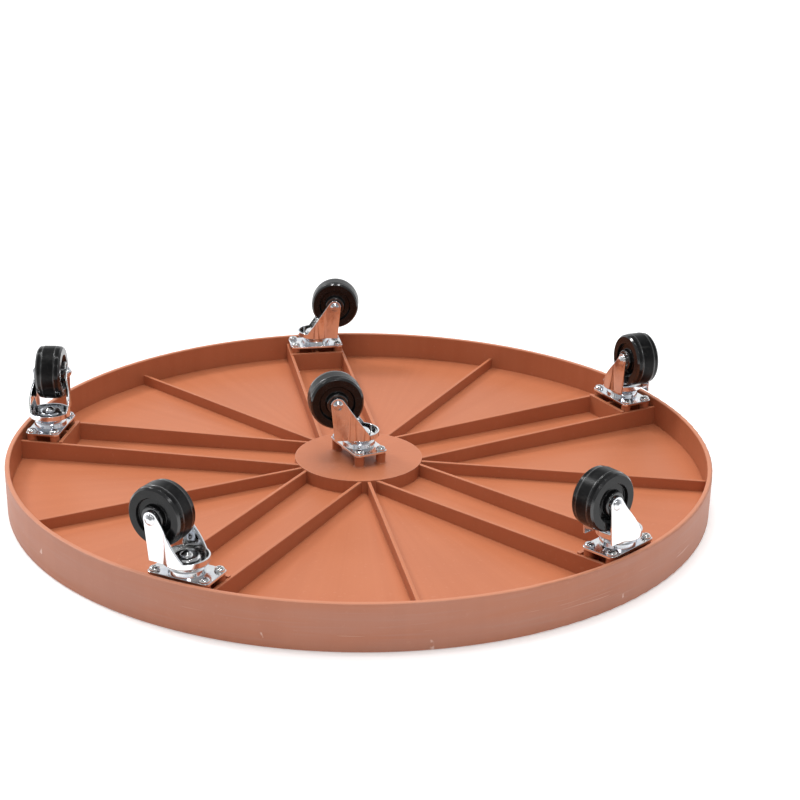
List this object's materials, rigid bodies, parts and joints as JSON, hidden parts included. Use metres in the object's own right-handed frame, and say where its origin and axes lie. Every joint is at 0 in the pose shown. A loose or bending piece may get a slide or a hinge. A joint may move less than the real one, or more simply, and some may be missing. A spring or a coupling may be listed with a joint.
{
  "type": "plant pot caddy",
  "caption": "Round moulded tray with radial ribs and a raised rim, carried on plate-mounted swivel casters under its rim and middle, lying wheels up.",
  "frame": {"origin": "centre of the tray in the plane of the rim's pot-side edge, which is the face the caddy lies on here", "axes": "+Z from the pot side towards the wheels, so the caddy is stored wheels up and is turned over for use; the first rim caster is 27.3 degrees anticlockwise from +X"},
  "size_m": [0.6096, 0.6096, 0.1041],
  "materials": {
    "tray_plastic": "terracotta-coloured structural moulding, satin, lightly scuffed",
    "zinc_plate": "bright zinc-plated pressed steel",
    "zinc_screw": "bright zinc-plated pan head screws",
    "kingpin_steel": "zinc-plated rivet, peened",
    "zinc_cap": "bright zinc-plated pressed cap",
    "ball_steel": "polished bearing balls, greased",
    "zinc_fork": "bright zinc-plated pressed steel",
    "axle_steel": "zinc-plated riveted axle with domed heads",
    "wheel_rubber": "hard black rubber with a dull sheen and a fine mould line"
  },
  "bodies": {
    "tray": {"tray": "tray_plastic", "right_mount_plate": "zinc_plate", "right_plate_screws": "zinc_screw", "right_kingpin": "kingpin_steel", "right_race_cap": "zinc_cap", "right_main_balls": "ball_steel", "right_upper_balls": "ball_steel", "back_mount_plate": "zinc_plate", "back_plate_screws": "zinc_screw", "back_kingpin": "kingpin_steel", "back_race_cap": "zinc_cap", "back_main_balls": "ball_steel", "back_upper_balls": "ball_steel", "left_mount_plate": "zinc_plate", "left_plate_screws": "zinc_screw", "left_kingpin": "kingpin_steel", "left_race_cap": "zinc_cap", "left_main_balls": "ball_steel", "left_upper_balls": "ball_steel", "front_left_mount_plate": "zinc_plate", "front_left_plate_screws": "zinc_screw", "front_left_kingpin": "kingpin_steel", "front_left_race_cap": "zinc_cap", "front_left_main_balls": "ball_steel", "front_left_upper_balls": "ball_steel", "front_right_mount_plate": "zinc_plate", "front_right_plate_screws": "zinc_screw", "front_right_kingpin": "kingpin_steel", "front_right_race_cap": "zinc_cap", "front_right_main_balls": "ball_steel", "front_right_upper_balls": "ball_steel", "center_mount_plate": "zinc_plate", "center_plate_screws": "zinc_screw", "center_kingpin": "kingpin_steel", "center_race_cap": "zinc_cap", "center_main_balls": "ball_steel", "center_upper_balls": "ball_steel"},
    "right_swivel": {"right_fork": "zinc_fork", "right_axle": "axle_steel"},
    "right_roller": {"right_wheel": "wheel_rubber"},
    "back_swivel": {"back_fork": "zinc_fork", "back_axle": "axle_steel"},
    "back_roller": {"back_wheel": "wheel_rubber"},
    "left_swivel": {"left_fork": "zinc_fork", "left_axle": "axle_steel"},
    "left_roller": {"left_wheel": "wheel_rubber"},
    "front_left_swivel": {"front_left_fork": "zinc_fork", "front_left_axle": "axle_steel"},
    "front_left_roller": {"front_left_wheel": "wheel_rubber"},
    "front_right_swivel": {"front_right_fork": "zinc_fork", "front_right_axle": "axle_steel"},
    "front_right_roller": {"front_right_wheel": "wheel_rubber"},
    "center_swivel": {"center_fork": "zinc_fork", "center_axle": "axle_steel"},
    "center_roller": {"center_wheel": "wheel_rubber"}
  },
  "joints": [
    {"name": "right_swivel_turn", "type": "hinge", "parent": "tray", "child": "right_swivel", "pos_m": [0.24926, 0.12865, 0.0462], "axis": [0, 0, 1], "continuous": true},
    {"name": "right_wheel_spin", "type": "hinge", "parent": "right_swivel", "child": "right_roller", "pos_m": [0.25677, 0.10958, 0.0803], "axis": [0.9304, 0.3665, 0], "continuous": true},
    {"name": "back_swivel_turn", "type": "hinge", "parent": "tray", "child": "back_swivel", "pos_m": [-0.04533, 0.27681, 0.0462], "axis": [0, 0, 1], "continuous": true},
    {"name": "back_wheel_spin", "type": "hinge", "parent": "back_swivel", "child": "back_roller", "pos_m": [-0.02483, 0.27646, 0.0803], "axis": [0.0175, 0.9998, 0], "continuous": true},
    {"name": "left_swivel_turn", "type": "hinge", "parent": "tray", "child": "left_swivel", "pos_m": [-0.27727, 0.04243, 0.0462], "axis": [0, 0, 1], "continuous": true},
    {"name": "left_wheel_spin", "type": "hinge", "parent": "left_swivel", "child": "left_roller", "pos_m": [-0.27709, 0.06293, 0.0803], "axis": [-1, 0.0087, 0], "continuous": true},
    {"name": "front_left_swivel_turn", "type": "hinge", "parent": "tray", "child": "front_left_swivel", "pos_m": [-0.12603, -0.25059, 0.0462], "axis": [0, 0, 1], "continuous": true},
    {"name": "front_left_wheel_spin", "type": "hinge", "parent": "front_left_swivel", "child": "front_left_roller", "pos_m": [-0.14396, -0.24065, 0.0803], "axis": [-0.4848, -0.8746, 0], "continuous": true},
    {"name": "front_right_swivel_turn", "type": "hinge", "parent": "tray", "child": "front_right_swivel", "pos_m": [0.19938, -0.1973, 0.0462], "axis": [0, 0, 1], "continuous": true},
    {"name": "front_right_wheel_spin", "type": "hinge", "parent": "front_right_swivel", "child": "front_right_roller", "pos_m": [0.18345, -0.2102, 0.0803], "axis": [0.6293, -0.7771, 0], "continuous": true},
    {"name": "center_swivel_turn", "type": "hinge", "parent": "tray", "child": "center_swivel", "pos_m": [0, 0, 0.0462], "axis": [0, 0, 1], "continuous": true},
    {"name": "center_wheel_spin", "type": "hinge", "parent": "center_swivel", "child": "center_roller", "pos_m": [-0.02022, -0.00338, 0.0803], "axis": [0.165, -0.9863, 0], "continuous": true}
  ]
}
